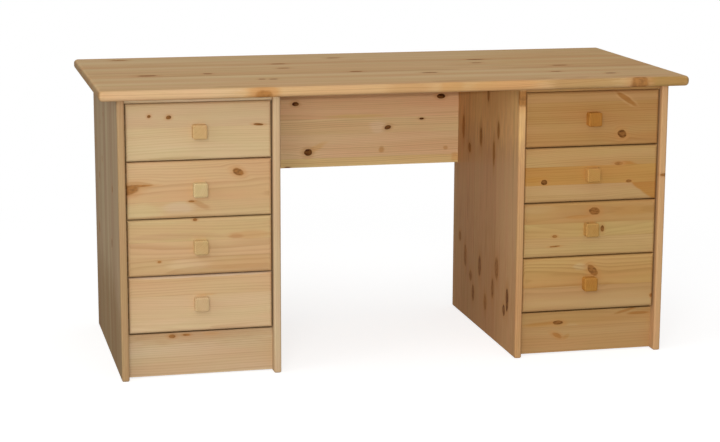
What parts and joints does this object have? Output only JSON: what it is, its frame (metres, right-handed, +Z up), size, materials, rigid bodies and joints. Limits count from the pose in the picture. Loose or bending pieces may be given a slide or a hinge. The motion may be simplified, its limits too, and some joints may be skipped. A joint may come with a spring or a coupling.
{
  "type": "pedestal desk",
  "caption": "Pine pedestal desk with a rounded desktop, a stack of knobbed dovetailed drawers on each side of the knee space, recessed plinths and a modesty panel",
  "frame": {"origin": "on the floor under the middle of the desktop", "axes": "+X along the desk to the right as its user sits, +Y from the user's side to the back, +Z up"},
  "size_m": [1.54, 0.7, 0.745],
  "materials": {
    "top_pine": "clear satin lacquer",
    "panel_pine": "clear satin lacquer",
    "front_pine": "clear satin lacquer",
    "box_pine": "sanded, unfinished",
    "plywood": "sanded, unfinished",
    "beech": "planed, unfinished",
    "zinc_steel": "zinc plated"
  },
  "bodies": {
    "carcass": {"desk_top": "top_pine", "modesty_panel": "panel_pine", "carcass_dowels": "beech", "desk_top_screws": "zinc_steel", "left_outer_side": "panel_pine", "left_inner_side": "panel_pine", "left_back_panel": "plywood", "left_plinth": "front_pine", "left_bottom_panel": "plywood", "left_front_rail": "front_pine", "left_rear_rail": "front_pine", "left_drawer_runners": "beech", "right_outer_side": "panel_pine", "right_inner_side": "panel_pine", "right_back_panel": "plywood", "right_plinth": "front_pine", "right_bottom_panel": "plywood", "right_front_rail": "front_pine", "right_rear_rail": "front_pine", "right_drawer_runners": "beech"},
    "left_drawer_1": {"left_drawer_1_front": "front_pine", "left_drawer_1_sides": "box_pine", "left_drawer_1_back": "box_pine", "left_drawer_1_bottom": "plywood", "left_drawer_1_knob": "front_pine"},
    "left_drawer_2": {"left_drawer_2_front": "front_pine", "left_drawer_2_sides": "box_pine", "left_drawer_2_back": "box_pine", "left_drawer_2_bottom": "plywood", "left_drawer_2_knob": "front_pine"},
    "left_drawer_3": {"left_drawer_3_front": "front_pine", "left_drawer_3_sides": "box_pine", "left_drawer_3_back": "box_pine", "left_drawer_3_bottom": "plywood", "left_drawer_3_knob": "front_pine"},
    "left_drawer_4": {"left_drawer_4_front": "front_pine", "left_drawer_4_sides": "box_pine", "left_drawer_4_back": "box_pine", "left_drawer_4_bottom": "plywood", "left_drawer_4_knob": "front_pine"},
    "right_drawer_1": {"right_drawer_1_front": "front_pine", "right_drawer_1_sides": "box_pine", "right_drawer_1_back": "box_pine", "right_drawer_1_bottom": "plywood", "right_drawer_1_knob": "front_pine"},
    "right_drawer_2": {"right_drawer_2_front": "front_pine", "right_drawer_2_sides": "box_pine", "right_drawer_2_back": "box_pine", "right_drawer_2_bottom": "plywood", "right_drawer_2_knob": "front_pine"},
    "right_drawer_3": {"right_drawer_3_front": "front_pine", "right_drawer_3_sides": "box_pine", "right_drawer_3_back": "box_pine", "right_drawer_3_bottom": "plywood", "right_drawer_3_knob": "front_pine"},
    "right_drawer_4": {"right_drawer_4_front": "front_pine", "right_drawer_4_sides": "box_pine", "right_drawer_4_back": "box_pine", "right_drawer_4_bottom": "plywood", "right_drawer_4_knob": "front_pine"}
  },
  "joints": [
    {"name": "left_drawer_1_slide", "type": "slide", "parent": "carcass", "child": "left_drawer_1", "axis": [0, -1, 0], "range_m": [0, 0.4]},
    {"name": "left_drawer_2_slide", "type": "slide", "parent": "carcass", "child": "left_drawer_2", "axis": [0, -1, 0], "range_m": [0, 0.4]},
    {"name": "left_drawer_3_slide", "type": "slide", "parent": "carcass", "child": "left_drawer_3", "axis": [0, -1, 0], "range_m": [0, 0.4]},
    {"name": "left_drawer_4_slide", "type": "slide", "parent": "carcass", "child": "left_drawer_4", "axis": [0, -1, 0], "range_m": [0, 0.4]},
    {"name": "right_drawer_1_slide", "type": "slide", "parent": "carcass", "child": "right_drawer_1", "axis": [0, -1, 0], "range_m": [0, 0.4]},
    {"name": "right_drawer_2_slide", "type": "slide", "parent": "carcass", "child": "right_drawer_2", "axis": [0, -1, 0], "range_m": [0, 0.4]},
    {"name": "right_drawer_3_slide", "type": "slide", "parent": "carcass", "child": "right_drawer_3", "axis": [0, -1, 0], "range_m": [0, 0.4]},
    {"name": "right_drawer_4_slide", "type": "slide", "parent": "carcass", "child": "right_drawer_4", "axis": [0, -1, 0], "range_m": [0, 0.4]}
  ]
}
